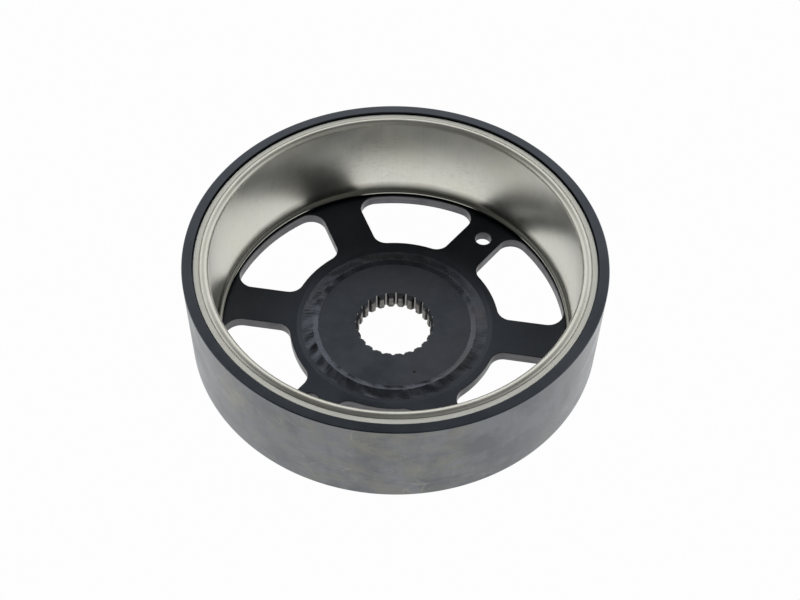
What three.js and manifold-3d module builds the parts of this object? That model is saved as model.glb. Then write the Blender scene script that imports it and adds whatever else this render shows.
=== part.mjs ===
// A magneto flywheel (the rotor of a small engine's alternator): a steel rim ring welded to a
// six-spoke web plate, a welded-in hub with an internal spline, and a ring of magnets held
// against the rim's bore by a stainless liner. Millimetres, +Z up. The engine's axis is Z, the
// open side that the stator enters faces up, and the origin is the centre of the hub's rear face.
import * as THREE from "three";
import { mergeVertices } from "three/addons/utils/BufferGeometryUtils.js";
import Module from "manifold-3d";

const wasm = await Module();
wasm.setup();

// Driving dimensions
const RIM_OUTER_R = 76; // the rim ring's outside radius
const RIM_HEIGHT = 39.7; // from the ring's lower face to the open rim
const RIM_BORE_R = 71.4; // the bore that the magnets are bonded to
const RIM_EDGE_BREAK = 0.25; // the broken edge at the open rim
const RIM_LOWER_CHAMFER = 1.0;
const LIP_SEAT_R = 72.44; // the counterbore that takes the liner's lip
const LIP_SEAT_DEPTH = 1.8;

const PLATE_THICKNESS = 4.5;
const PLATE_R = 73; // the web plate's outside radius, under the ring
const PLATE_LOWER_BEVEL = [2.0, 2.6]; // radial and axial size of its lower outer bevel
const LAND_INNER_R = 67.6; // the raised land that centres the ring on the plate
const LAND_OUTER_R = 71.25;
const LAND_HEIGHT = 1.5;

const SPOKES = 6;
const SPOKE_HALF_WIDTH = 7.95;
const SPOKE_ANGLE = 52.4; // degrees from +X to the middle of the first spoke
const WINDOW_INNER_R = 39.8;
const WINDOW_OUTER_R = 64.8;
const WINDOW_INNER_CORNER_R = 5.4;
const WINDOW_OUTER_CORNER_R = 6.2;
const SPOKE_HOLE_R = 3.25;
const SPOKE_HOLES = [
  { angle: 51.3, distance: 55.2 },
  { angle: 231.3, distance: 47.5 },
];

const HUB_R = 30.5;
const HUB_THICKNESS = 7.5;
const HUB_RECESS = 0.95; // how far the hub's front face lies below the plate's
const HUB_FRONT_PREP = [1.1, 1.3]; // radial and axial size of its weld bevel
const HUB_REAR_CHAMFER = 0.6;
const HUB_BORE_GAP = 0.2; // between the hub and the plate's bore
const WELD_GROOVE_R = 37.1; // outer edge of the shallow weld groove round the plate's bore
const WELD_GROOVE_DEPTH = 2.25; // its depth at the bore

const SPLINE_TEETH = 24;
const SPLINE_TIP_R = 13.79;
const SPLINE_ROOT_R = 14.97;
const SPLINE_SPACE_AT_TIP = 1.02; // half the space's width at the tooth tips
const SPLINE_SPACE_AT_ROOT = 0.3; // and at its root
const SPLINE_ANGLE = 88.9; // degrees from +X to the middle of the first space
const SPLINE_LEAD_IN = 0.85; // the 45 degree chamfer at the teeth's front ends

const LINER_SHEET = 0.8;
const LINER_INNER_R = 66.6;
const LINER_LIP_R = 71.97;
const LINER_LIP_DROP = 0.9; // how far the lip lies below the open rim
const LINER_BEAD_R = 1.9; // outside radius of the rolled bead
const LINER_BEAD_DROP = 0.1;
const LINER_FOOT_R = 65; // inner edge of the turned-in foot
const LINER_FOOT_HEIGHT = 1.7;
const LINER_FOOT_SHEET = 0.7;
const LINER_FOOT_CLEARANCE = 1.4; // between the foot and the plate

const MAGNETS = 12;
const MAGNET_ARC = 27.4; // degrees
const MAGNET_HEIGHT = 31;
const MAGNET_INNER_R = 67.6;
const MAGNET_OUTER_R = 71.2;
const SPACER_HEIGHT = 2.6;
const POTTING_ARC = 2.1; // degrees, the resin between two magnets
const POTTING_TOP_DROP = 2.7; // how far the resin's top lies below the open rim

const WELD_CREST_R = 31.6;
const WELD_CREST_HEIGHT = 0.4; // above the plate's front face
const WELD_INNER_TOE_R = 29.3;
const WELD_OUTER_TOE_R = 34.8;
const REAR_WELD_LEG = [3.6, 3.0]; // radial and axial legs of the hub's rear fillet weld
const RIM_WELD_LEG = [1.8, 2.1]; // and of the rim's

const GAP = 0.15; // clearance between neighbouring solids
const ROUND_STEPS = 72; // sides of every full circle
const ARC_STEPS = 5; // sides of a small arc in a profile

// Sizes that follow from them
const PLATE_TOP = HUB_THICKNESS + HUB_RECESS;
const PLATE_BOTTOM = PLATE_TOP - PLATE_THICKNESS;
const PLATE_BORE_R = HUB_R + HUB_BORE_GAP;
const RIM_BOTTOM = PLATE_TOP + GAP;
const RIM_TOP = RIM_BOTTOM + RIM_HEIGHT;
const LAND_TOP = PLATE_TOP + LAND_HEIGHT;
const SPACER_BOTTOM = LAND_TOP + GAP;
const MAGNET_BOTTOM = SPACER_BOTTOM + SPACER_HEIGHT + GAP;
const MAGNET_TOP = MAGNET_BOTTOM + MAGNET_HEIGHT;

const radians = THREE.MathUtils.degToRad;
const point = (r, z) => new THREE.Vector2(r, z);

function material(color, roughness, metalness) {
  return new THREE.MeshStandardMaterial({ color, roughness, metalness });
}

const MATERIALS = {
  rim: material(0x8b8d90, 0.42, 0.9),
  web: material(0x26292e, 0.55, 0.7),
  hub: material(0x34363a, 0.5, 0.7),
  weld: material(0x3a3d43, 0.6, 0.7),
  liner: material(0xb9b8ac, 0.3, 1.0),
  magnet: material(0x3c3c40, 0.7, 0.3),
  spacer: material(0xa9abad, 0.5, 0.9),
  potting: material(0x2a2620, 0.8, 0.0),
};

// The points of an arc in a profile, both ends included. Angles are in degrees.
function arc(r, z, radius, from, to, steps = ARC_STEPS) {
  return Array.from({ length: steps + 1 }, (_, i) => {
    const angle = radians(from + ((to - from) * i) / steps);
    return point(r + radius * Math.cos(angle), z + radius * Math.sin(angle));
  });
}

// A ring or disc turned about Z from its half section, which runs anticlockwise with r to the
// right and z up. A ring's section closes on itself, and a disc's starts and ends on the axis.
function turned(section) {
  const onAxis = section[0].x === 0;
  const outline = onAxis ? section : [...section, section[0].clone()];
  const geometry = new THREE.LatheGeometry(outline, ROUND_STEPS);
  return geometry.rotateX(Math.PI / 2);
}

// A flat outline raised from z = bottom to z = top.
function raised(shape, bottom, top, curveSegments = ROUND_STEPS) {
  const settings = { depth: top - bottom, bevelEnabled: false, curveSegments };
  return new THREE.ExtrudeGeometry(shape, settings).translate(0, 0, bottom);
}

function solid(geometry) {
  const bare = geometry.index ? geometry.toNonIndexed() : geometry.clone();
  bare.deleteAttribute("normal");
  bare.deleteAttribute("uv");
  const merged = mergeVertices(bare, 1e-4);
  const vertProperties = merged.attributes.position.array;
  const triVerts = new Uint32Array(merged.index.array);
  return new wasm.Manifold(new wasm.Mesh({ numProp: 3, vertProperties, triVerts }));
}

function geometryOf(manifold) {
  const mesh = manifold.getMesh();
  const geometry = new THREE.BufferGeometry();
  geometry.setAttribute("position", new THREE.BufferAttribute(mesh.vertProperties, 3));
  geometry.setIndex(new THREE.BufferAttribute(mesh.triVerts, 1));
  const facets = geometry.toNonIndexed();
  facets.computeVertexNormals();
  return facets;
}

// The rim ring: bore, counterbore for the liner's lip, and broken edges.
function rimShell() {
  const chamfer = RIM_LOWER_CHAMFER;
  return turned([
    point(RIM_BORE_R, RIM_BOTTOM),
    point(RIM_OUTER_R - chamfer, RIM_BOTTOM),
    point(RIM_OUTER_R, RIM_BOTTOM + chamfer),
    point(RIM_OUTER_R, RIM_TOP - RIM_EDGE_BREAK),
    point(RIM_OUTER_R - RIM_EDGE_BREAK, RIM_TOP),
    point(LIP_SEAT_R, RIM_TOP),
    point(LIP_SEAT_R, RIM_TOP - LIP_SEAT_DEPTH),
    point(RIM_BORE_R, RIM_TOP - LIP_SEAT_DEPTH),
  ]);
}

// One window, lying along +X between the spokes at plus and minus half a pitch: two arcs about
// the flywheel's axis, two straight sides parallel to the spokes, and four round corners.
function windowOutline() {
  const half = radians(180 / SPOKES);
  const [innerCorner, outerCorner] = [WINDOW_INNER_CORNER_R, WINDOW_OUTER_CORNER_R];
  const innerCentre = WINDOW_INNER_R + innerCorner;
  const outerCentre = WINDOW_OUTER_R - outerCorner;
  const innerAngle = half - Math.asin((SPOKE_HALF_WIDTH + innerCorner) / innerCentre);
  const outerAngle = half - Math.asin((SPOKE_HALF_WIDTH + outerCorner) / outerCentre);
  const square = Math.PI / 2;
  const corner = (distance, angle, radius, from, to) => {
    const [x, y] = [distance * Math.cos(angle), distance * Math.sin(angle)];
    outline.absarc(x, y, radius, from, to, false);
  };
  const outline = new THREE.Shape();
  outline.absarc(0, 0, WINDOW_OUTER_R, -outerAngle, outerAngle, false);
  corner(outerCentre, outerAngle, outerCorner, outerAngle, half + square);
  corner(innerCentre, innerAngle, innerCorner, half + square, innerAngle + Math.PI);
  outline.absarc(0, 0, WINDOW_INNER_R, innerAngle, -innerAngle, true);
  corner(innerCentre, -innerAngle, innerCorner, Math.PI - innerAngle, 3 * square - half);
  corner(outerCentre, -outerAngle, outerCorner, -half - square, -outerAngle);
  return outline;
}

// The web plate: a turned blank with a land, a weld groove and a bevel, cut by six windows and
// two holes.
function spiderPlate() {
  const [bevelR, bevelZ] = PLATE_LOWER_BEVEL;
  const blank = turned([
    point(PLATE_BORE_R, PLATE_BOTTOM),
    point(PLATE_R - bevelR, PLATE_BOTTOM),
    point(PLATE_R, PLATE_BOTTOM + bevelZ),
    point(PLATE_R, PLATE_TOP),
    point(LAND_OUTER_R, PLATE_TOP),
    point(LAND_OUTER_R, LAND_TOP),
    point(LAND_INNER_R, LAND_TOP),
    point(LAND_INNER_R, PLATE_TOP),
    point(WELD_GROOVE_R, PLATE_TOP),
    point(PLATE_BORE_R, PLATE_TOP - WELD_GROOVE_DEPTH),
  ]);
  const [below, above] = [PLATE_BOTTOM - 1, PLATE_TOP + 1];
  let plate = solid(blank);
  for (let spoke = 0; spoke < SPOKES; spoke++) {
    const opening = raised(windowOutline(), below, above, ARC_STEPS);
    opening.rotateZ(radians(SPOKE_ANGLE + ((spoke + 0.5) * 360) / SPOKES));
    plate = plate.subtract(solid(opening));
  }
  for (const { angle, distance } of SPOKE_HOLES) {
    const outline = new THREE.Shape().absarc(distance, 0, SPOKE_HOLE_R, 0, 2 * Math.PI, false);
    const hole = raised(outline, below, above, 4 * ARC_STEPS).rotateZ(radians(angle));
    plate = plate.subtract(solid(hole));
  }
  return geometryOf(plate);
}

// The open middle of the hub: a circle at the tooth tips with a tapered space cut between teeth.
function splineOutline() {
  const pitch = (2 * Math.PI) / SPLINE_TEETH;
  const tipHalf = Math.asin(SPLINE_SPACE_AT_TIP / SPLINE_TIP_R);
  const rootHalf = Math.asin(SPLINE_SPACE_AT_ROOT / SPLINE_ROOT_R);
  const corner = (r, angle) => new THREE.Vector2(r * Math.cos(angle), r * Math.sin(angle));
  const corners = [];
  for (let tooth = 0; tooth < SPLINE_TEETH; tooth++) {
    const middle = radians(SPLINE_ANGLE) + tooth * pitch;
    corners.push(
      corner(SPLINE_TIP_R, middle - tipHalf),
      corner(SPLINE_ROOT_R, middle - rootHalf),
      corner(SPLINE_ROOT_R, middle + rootHalf),
      corner(SPLINE_TIP_R, middle + tipHalf),
      corner(SPLINE_TIP_R, middle + pitch / 2),
    );
  }
  return new THREE.Shape(corners);
}

// The hub disc: weld bevel at the front, chamfer at the rear, and the splined bore with its
// lead-in.
function splinedHub() {
  const [prepR, prepZ] = HUB_FRONT_PREP;
  const blank = turned([
    point(0, 0),
    point(HUB_R - HUB_REAR_CHAMFER, 0),
    point(HUB_R, HUB_REAR_CHAMFER),
    point(HUB_R, HUB_THICKNESS - prepZ),
    point(HUB_R - prepR, HUB_THICKNESS),
    point(0, HUB_THICKNESS),
  ]);
  const bore = raised(splineOutline(), -1, HUB_THICKNESS + 1);
  const leadIn = turned([
    point(0, HUB_THICKNESS - SPLINE_LEAD_IN),
    point(SPLINE_TIP_R, HUB_THICKNESS - SPLINE_LEAD_IN),
    point(SPLINE_TIP_R + 2 * SPLINE_LEAD_IN, HUB_THICKNESS + SPLINE_LEAD_IN),
    point(0, HUB_THICKNESS + SPLINE_LEAD_IN),
  ]);
  return geometryOf(solid(blank).subtract(solid(bore)).subtract(solid(leadIn)));
}

// The front weld: a convex bead over the joint, lying in the groove that the two bevels make.
function hubWeldFront() {
  const grooveSlope = WELD_GROOVE_DEPTH / (WELD_GROOVE_R - PLATE_BORE_R);
  const rootZ = PLATE_TOP - WELD_GROOVE_DEPTH + GAP;
  const toeZ = PLATE_TOP - grooveSlope * (WELD_GROOVE_R - WELD_OUTER_TOE_R) + GAP;
  const crestZ = PLATE_TOP + WELD_CREST_HEIGHT;
  const innerRun = WELD_CREST_R - WELD_INNER_TOE_R;
  const outerRun = WELD_OUTER_TOE_R - WELD_CREST_R;
  const innerRise = crestZ - HUB_THICKNESS - GAP;
  const outerRise = crestZ - toeZ;
  const quarter = (run, rise, from, to) =>
    arc(0, 0, 1, from, to).map((p) => point(WELD_CREST_R + run * p.x, crestZ - rise * (1 - p.y)));
  return turned([
    point(HUB_R, rootZ),
    point(PLATE_BORE_R, rootZ),
    ...quarter(outerRun, outerRise, 0, 90),
    ...quarter(innerRun, innerRise, 90, 180).slice(1),
  ]);
}

// A fillet weld in a corner, from its upper toe to its lower toe, with a slightly convex face.
function filletWeld(corner, upperToe, lowerToe) {
  const face = new THREE.QuadraticBezierCurve(
    lowerToe,
    lowerToe.clone().add(upperToe).multiplyScalar(0.55).addScaledVector(corner, -0.1),
    upperToe,
  );
  return turned([corner, ...face.getPoints(ARC_STEPS)]);
}

function hubWeldRear() {
  const [legR, legZ] = REAR_WELD_LEG;
  const corner = point(HUB_R + GAP, PLATE_BOTTOM - GAP);
  const upperToe = point(corner.x + legR, corner.y);
  const lowerToe = point(corner.x, corner.y - legZ);
  return filletWeld(corner, upperToe, lowerToe);
}

function rimWeld() {
  const [legR, legZ] = RIM_WELD_LEG;
  const corner = point(PLATE_R + GAP, RIM_BOTTOM - GAP);
  const upperToe = point(corner.x + legR, corner.y);
  const lowerToe = point(corner.x, corner.y - legZ);
  return filletWeld(corner, upperToe, lowerToe);
}

// The liner: a thin stainless cup with no floor, rolled over the magnets at the open end into a
// bead and a flat lip, and turned in at the web plate as a short foot.
function magnetLiner() {
  const inside = LINER_INNER_R;
  const outside = inside + LINER_SHEET;
  const lipTop = RIM_TOP - LINER_LIP_DROP;
  const lipBottom = lipTop - LINER_SHEET;
  const beadR = inside + LINER_BEAD_R;
  const beadZ = RIM_TOP - LINER_BEAD_DROP - LINER_BEAD_R;
  const underR = LINER_BEAD_R - LINER_SHEET;
  const degrees = THREE.MathUtils.radToDeg;
  const topMeetsLip = degrees(Math.asin((lipTop - beadZ) / LINER_BEAD_R));
  const underMeetsLip = degrees(Math.asin((lipBottom - beadZ) / underR));
  const footBottom = PLATE_TOP + LINER_FOOT_CLEARANCE;
  const footTop = footBottom + LINER_FOOT_SHEET;
  const footReach = inside - LINER_FOOT_R;
  const footCurve = arc(0, 0, 1, 270, 360, ARC_STEPS - 1).map((p) =>
    point(LINER_FOOT_R + footReach * p.x, footTop + LINER_FOOT_HEIGHT * (1 + p.y)),
  );
  return turned([
    point(LINER_FOOT_R, footBottom),
    point(outside - LINER_FOOT_SHEET, footBottom),
    point(outside, footTop),
    ...arc(beadR, beadZ, underR, 180, underMeetsLip),
    point(LINER_LIP_R, lipBottom),
    point(LINER_LIP_R, lipTop),
    ...arc(beadR, beadZ, LINER_BEAD_R, topMeetsLip, 180, ARC_STEPS + 2),
    ...footCurve.reverse(),
  ]);
}

// A part of a ring between two radii, centred on +X. The arc is in degrees.
function sector(innerR, outerR, arcAngle) {
  const half = radians(arcAngle / 2);
  const outline = new THREE.Shape();
  outline.absarc(0, 0, outerR, -half, half, false);
  outline.absarc(0, 0, innerR, half, -half, true);
  return outline;
}

function magnet() {
  const outline = sector(MAGNET_INNER_R, MAGNET_OUTER_R, MAGNET_ARC);
  return raised(outline, MAGNET_BOTTOM, MAGNET_TOP, ARC_STEPS);
}

// A ring with a rectangular section.
function plainRing(innerR, outerR, bottom, top) {
  return turned([
    point(innerR, bottom),
    point(outerR, bottom),
    point(outerR, top),
    point(innerR, top),
  ]);
}

function magnetSpacer() {
  const top = SPACER_BOTTOM + SPACER_HEIGHT;
  return plainRing(MAGNET_INNER_R, MAGNET_OUTER_R, SPACER_BOTTOM, top);
}

// The resin: a ring over the magnets' upper ends, joined to a fin in each gap between two.
function magnetPotting() {
  const ringBottom = MAGNET_TOP + GAP;
  const ringTop = RIM_TOP - POTTING_TOP_DROP;
  let resin = solid(plainRing(MAGNET_INNER_R, MAGNET_OUTER_R, ringBottom, ringTop));
  const finTop = (ringBottom + ringTop) / 2;
  const finOutline = sector(MAGNET_INNER_R + GAP, MAGNET_OUTER_R - GAP, POTTING_ARC);
  for (let gap = 0; gap < MAGNETS; gap++) {
    const fin = raised(finOutline, MAGNET_BOTTOM, finTop, 1);
    fin.rotateZ(radians(((gap + 0.5) * 360) / MAGNETS));
    resin = resin.add(solid(fin));
  }
  return geometryOf(resin);
}

const flywheel = new THREE.Group();

function place(name, geometry, look) {
  const mesh = new THREE.Mesh(geometry, look);
  mesh.name = name;
  flywheel.add(mesh);
  return mesh;
}

place("rim_shell", rimShell(), MATERIALS.rim);
place("spider_plate", spiderPlate(), MATERIALS.web);
place("splined_hub", splinedHub(), MATERIALS.hub);
place("hub_weld_front", hubWeldFront(), MATERIALS.weld);
place("hub_weld_rear", hubWeldRear(), MATERIALS.weld);
place("rim_weld", rimWeld(), MATERIALS.weld);
place("magnet_liner", magnetLiner(), MATERIALS.liner);
place("magnet_spacer", magnetSpacer(), MATERIALS.spacer);
place("magnet_potting", magnetPotting(), MATERIALS.potting);
for (let i = 0; i < MAGNETS; i++) {
  const name = "magnet_" + String(i + 1).padStart(2, "0");
  place(name, magnet(), MATERIALS.magnet).rotation.z = radians((i * 360) / MAGNETS);
}

export default flywheel;
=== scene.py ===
"""The looks of the flywheel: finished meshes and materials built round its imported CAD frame."""

import math

import bmesh
import bpy
import numpy as np
from mathutils import Matrix, Vector, geometry


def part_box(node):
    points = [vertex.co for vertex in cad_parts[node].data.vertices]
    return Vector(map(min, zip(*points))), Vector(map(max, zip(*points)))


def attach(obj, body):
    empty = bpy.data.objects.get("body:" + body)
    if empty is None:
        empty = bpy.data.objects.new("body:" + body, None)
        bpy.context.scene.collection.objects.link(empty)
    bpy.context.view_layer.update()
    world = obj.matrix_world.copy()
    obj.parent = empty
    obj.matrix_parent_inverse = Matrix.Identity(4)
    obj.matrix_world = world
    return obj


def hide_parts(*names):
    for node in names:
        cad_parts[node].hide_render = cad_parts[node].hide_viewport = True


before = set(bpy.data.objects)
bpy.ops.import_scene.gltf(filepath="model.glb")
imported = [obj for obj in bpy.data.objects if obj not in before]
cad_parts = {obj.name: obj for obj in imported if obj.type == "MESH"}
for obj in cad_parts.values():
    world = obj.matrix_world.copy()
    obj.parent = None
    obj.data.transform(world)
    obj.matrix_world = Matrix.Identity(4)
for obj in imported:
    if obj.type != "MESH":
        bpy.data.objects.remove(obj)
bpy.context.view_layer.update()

MM = 0.001
SEED = 11

# Sizes that the CAD frame gives, in metres
RIM_LOW, RIM_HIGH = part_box("rim_shell")
PLATE_LOW, PLATE_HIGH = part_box("spider_plate")
HUB_LOW, HUB_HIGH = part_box("splined_hub")
LINER_LOW, LINER_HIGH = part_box("magnet_liner")
REAR_WELD_LOW, REAR_WELD_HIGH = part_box("hub_weld_rear")
RIM_WELD_LOW, RIM_WELD_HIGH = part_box("rim_weld")
RIM_R, RIM_BOTTOM, RIM_TOP = RIM_HIGH.x, RIM_LOW.z, RIM_HIGH.z
PLATE_R, PLATE_BOTTOM, LAND_TOP = PLATE_HIGH.x, PLATE_LOW.z, PLATE_HIGH.z
HUB_R, HUB_BOTTOM, HUB_TOP = HUB_HIGH.x, HUB_LOW.z, HUB_HIGH.z
LIP_R, LINER_BOTTOM, BEAD_CREST = LINER_HIGH.x, LINER_LOW.z, LINER_HIGH.z

# The rim ring
RIM_BORE_R = 71.4 * MM
RIM_SEAT_R = 72.44 * MM
RIM_SEAT_DEPTH = 1.8 * MM
RIM_EDGE_BREAK = 0.25 * MM
RIM_LOWER_CHAMFER = 1.0 * MM
SCRIBE_HEIGHT = 6.3 * MM  # a faint turned line round the drum, above its lower edge
SCRIBE_WIDTH = 0.35 * MM
SCRIBE_DEPTH = 0.03 * MM
DRUM_WORN_ANGLE = math.radians(256)  # the side of the drum that is scuffed most

# The web plate
LAND_INNER_R = 67.6 * MM
LAND_OUTER_R = 71.25 * MM
LAND_HEIGHT = 1.5 * MM
PLATE_TOP = LAND_TOP - LAND_HEIGHT
PLATE_BEVEL = (2.0 * MM, 2.6 * MM)
PLATE_BORE_R = 30.7 * MM
GROOVE_R = 37.1 * MM
GROOVE_DEPTH = 2.25 * MM
SPOKES = 6
SPOKE_HALF_WIDTH = 7.95 * MM
SPOKE_ANGLE = math.radians(52.4)
WINDOW_INNER_R = 39.8 * MM
WINDOW_OUTER_R = 64.8 * MM
WINDOW_INNER_CORNER_R = 5.4 * MM
WINDOW_OUTER_CORNER_R = 6.2 * MM
HOLE_R = 3.25 * MM
HOLES = ((math.radians(51.3), 55.2 * MM), (math.radians(231.3), 47.5 * MM))
CUT_EDGE = 0.42 * MM  # the rounding of the windows' and holes' edges

# The hub
HUB_PREP = (0.3 * MM, 0.3 * MM)  # its front bevel, hidden under the weld
HUB_CHAMFER = 0.6 * MM
TEETH = 24
TOOTH_TIP_R = 13.79 * MM
TOOTH_ROOT_R = 14.97 * MM
SPACE_AT_TIP = 1.02 * MM
SPACE_AT_ROOT = 0.3 * MM
SPLINE_ANGLE = math.radians(88.9)
SPLINE_EDGE = 0.12 * MM
SPLINE_LEAD_IN = 0.85 * MM  # the 45 degree chamfer at the teeth's front ends
TIP_SHADE_DEPTH = 2.3 * MM  # how far down from the front the teeth's tips are painted black as shade
PIT_ANGLE = math.radians(289)
PIT_DISTANCE = 23.9 * MM
PIT_R = 0.45 * MM
PIT_DEPTH = 0.4 * MM

# The liner
LINER_R = 66.6 * MM
LINER_SHEET = 0.8 * MM
LINER_FOOT_R = 65 * MM
LINER_FOOT_HEIGHT = 1.7 * MM
LINER_FOOT_SHEET = 0.7 * MM
LIP_TOP = RIM_TOP - 0.9 * MM
ROLL_R = 1.9 * MM
ROLL_START = 0.06  # radians from the lip at which the bead's own curve begins
CREASE = 0.1 * MM  # the depth and half width of the turned line between the lip and the bead

# The welds
WELD_RISE = 0.62 * MM  # the front bead's crest above the hub's face
WELD_CREST_R = 31.1 * MM
WELD_INNER_TOE_R = 28.9 * MM
WELD_OUTER_TOE_R = 35.4 * MM
WELD_INNER_BOW = 1.15  # how full the front bead's inner flank is, where 1 is straight
WELD_OUTER_BOW = 1.2  # and how round its crest is on the outer side
WELD_ROOT_DEPTH = 1.0 * MM
TOE_BURIED = 0.04 * MM
WELD_WANDER = 0.2 * MM  # how far a bead's toes wander sideways
ROUGHEST_WELD = math.radians(205)
WELD_WAVES = 24  # waves added up for the lumps, and again for the fine ripples
LUMPS_ROUND = (9, 40)  # how many a wave makes round the circle, from the first up to the second
RIPPLES_ROUND = (60, 150)
WAVE_LEAN = (-3.4, -0.4)  # how waves slant, in radians of phase for half the bead's width
FILLET_CROWN = 0.1  # how much a fillet weld's face bulges, as a share of its distance to the corner

SEGMENTS = 432
WELD_SEGMENTS = 1296
HOLE_SEGMENTS = 48
PIT_SEGMENTS = 24
ARC_STEPS = 6
EDGE_STEPS = 3
SPLINE_STEPS = 3
FOOT_STEPS = 10
UNDER_STEPS = 12
BEAD_STEPS = 28


# ---------------------------------------------------------------- meshes


def polar(radius, angle):
    return np.array((radius * math.cos(angle), radius * math.sin(angle)))


def rounded(corners, steps=ARC_STEPS):
    """A closed outline with its corners rounded. A corner is (x, y, radius, tag), where the tag
    belongs to the stretch that follows the corner. Gives the points and a tag for each."""
    points, tags = [], []
    count = len(corners)
    for i, (x, y, radius, tag) in enumerate(corners):
        here = np.array((x, y))
        if radius <= 0:
            points.append(here)
            tags.append(tag)
            continue
        before = np.array(corners[i - 1][:2]) - here
        after = np.array(corners[(i + 1) % count][:2]) - here
        reach = 0.49 * min(np.linalg.norm(before), np.linalg.norm(after))
        before, after = before / np.linalg.norm(before), after / np.linalg.norm(after)
        half = 0.5 * math.acos(max(-1.0, min(1.0, float(before @ after))))
        back = min(radius / math.tan(half), reach)
        radius = back * math.tan(half)
        middle = (before + after) / np.linalg.norm(before + after)
        centre = here + middle * radius / math.sin(half)
        start, end = here + before * back - centre, here + after * back - centre
        sweep = math.atan2(start[0] * end[1] - start[1] * end[0], float(start @ end))
        for step in range(steps + 1):
            turn = sweep * step / steps
            c, s = math.cos(turn), math.sin(turn)
            points.append(centre + np.array((c * start[0] - s * start[1], s * start[0] + c * start[1])))
            tags.append(tag)
    return points, tags


class Solid:
    """A closed mesh put together from loops of points and the bands between them."""

    def __init__(self):
        self.points, self.faces, self.slots = [], [], []

    def loop(self, points):
        first = len(self.points)
        self.points.extend(tuple(map(float, p)) for p in points)
        return list(range(first, len(self.points)))

    def ring(self, radius, height, segments=SEGMENTS):
        turn = np.arange(segments) * 2 * math.pi / segments
        return self.loop(zip(radius * np.cos(turn), radius * np.sin(turn), np.full(segments, height)))

    def band(self, low, high, slot=0):
        count = len(low)
        for i in range(count):
            j = (i + 1) % count
            self.faces.append((low[i], low[j], high[j], high[i]))
            self.slots.append(slot)

    def cap(self, loop, tip, slot=0):
        for i in range(len(loop)):
            self.faces.append((loop[i], loop[(i + 1) % len(loop)], tip))
            self.slots.append(slot)

    def sheet(self, outer, holes, slot=0):
        """The flat face between an outer loop and the loops inside it."""
        loops = [outer, *holes]
        flat = [Vector(self.points[i][:2]) for loop in loops for i in loop]
        owner = [i for loop in loops for i in loop]
        edges, start = [], 0
        for loop in loops:
            count = len(loop)
            edges += [(start + i, start + (i + 1) % count) for i in range(count)]
            start += count
        found = geometry.delaunay_2d_cdt(flat, edges, [], 1, 1e-9, True)
        places, triangles, origins = found[0], found[2], found[3]
        outlines = [np.array([self.points[i][:2] for i in hole]) for hole in holes]
        for triangle in triangles:
            middle = sum((places[i] for i in triangle), Vector((0, 0))) / len(triangle)
            if any(encloses(outline, middle) for outline in outlines):
                continue
            self.faces.append(tuple(owner[origins[i][0]] for i in triangle))
            self.slots.append(slot)

    def object(self, name, materials, smooth_angle=38):
        mesh = bpy.data.meshes.new(name)
        mesh.from_pydata(self.points, [], self.faces)
        for material in materials:
            mesh.materials.append(material)
        mesh.polygons.foreach_set("material_index", self.slots)
        shape = bmesh.new()
        shape.from_mesh(mesh)
        bmesh.ops.recalc_face_normals(shape, faces=shape.faces)
        shape.to_mesh(mesh)
        shape.free()
        mesh.shade_smooth()
        mesh.set_sharp_from_angle(angle=math.radians(smooth_angle))
        made = bpy.data.objects.new(name, mesh)
        bpy.context.scene.collection.objects.link(made)
        weights = made.modifiers.new("even_normals", "WEIGHTED_NORMAL")
        weights.keep_sharp = True
        return made


def encloses(outline, place):
    """Whether a closed outline goes round a place, by counting crossings."""
    x, y = outline[:, 0], outline[:, 1]
    nx, ny = np.roll(x, -1), np.roll(y, -1)
    spans = (y > place.y) != (ny > place.y)
    rise = np.where(spans, ny - y, 1.0)
    crossing = x + (place.y - y) * (nx - x) / rise
    return bool(np.count_nonzero(spans & (place.x < crossing)) % 2)


def turned(name, corners, materials, segments=SEGMENTS):
    """A ring turned from a closed half section of (r, z, rounding, slot) corners."""
    points, slots = rounded(corners)
    solid = Solid()
    rings = [solid.ring(r, z, segments) for r, z in points]
    for i, slot in enumerate(slots):
        solid.band(rings[i], rings[(i + 1) % len(rings)], slot)
    return solid.object(name, materials)


def rim_shell(materials):
    """Slot 0 is the blackened face and its edges, 1 the bright drum."""
    chamfer, broken = RIM_LOWER_CHAMFER, RIM_EDGE_BREAK
    seat_floor = RIM_TOP - RIM_SEAT_DEPTH
    scribe = RIM_BOTTOM + SCRIBE_HEIGHT
    half = SCRIBE_WIDTH / 2
    return turned("rim_drum", [
        (RIM_BORE_R, RIM_BOTTOM, 0.2 * MM, 1),
        (RIM_R - chamfer, RIM_BOTTOM, 0.35 * MM, 1),
        (RIM_R, RIM_BOTTOM + chamfer, 0.35 * MM, 1),
        (RIM_R, scribe - half, 0, 1),
        (RIM_R - SCRIBE_DEPTH, scribe, 0, 1),
        (RIM_R, scribe + half, 0, 1),
        (RIM_R, RIM_TOP - broken - 0.2 * MM, 0, 0),
        (RIM_R, RIM_TOP - broken, 0.1 * MM, 0),
        (RIM_R - broken, RIM_TOP, 0.1 * MM, 0),
        (RIM_SEAT_R, RIM_TOP, 0.12 * MM, 0),
        (RIM_SEAT_R, seat_floor, 0.1 * MM, 0),
        (RIM_BORE_R, seat_floor, 0.1 * MM, 0),
    ], materials)


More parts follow.
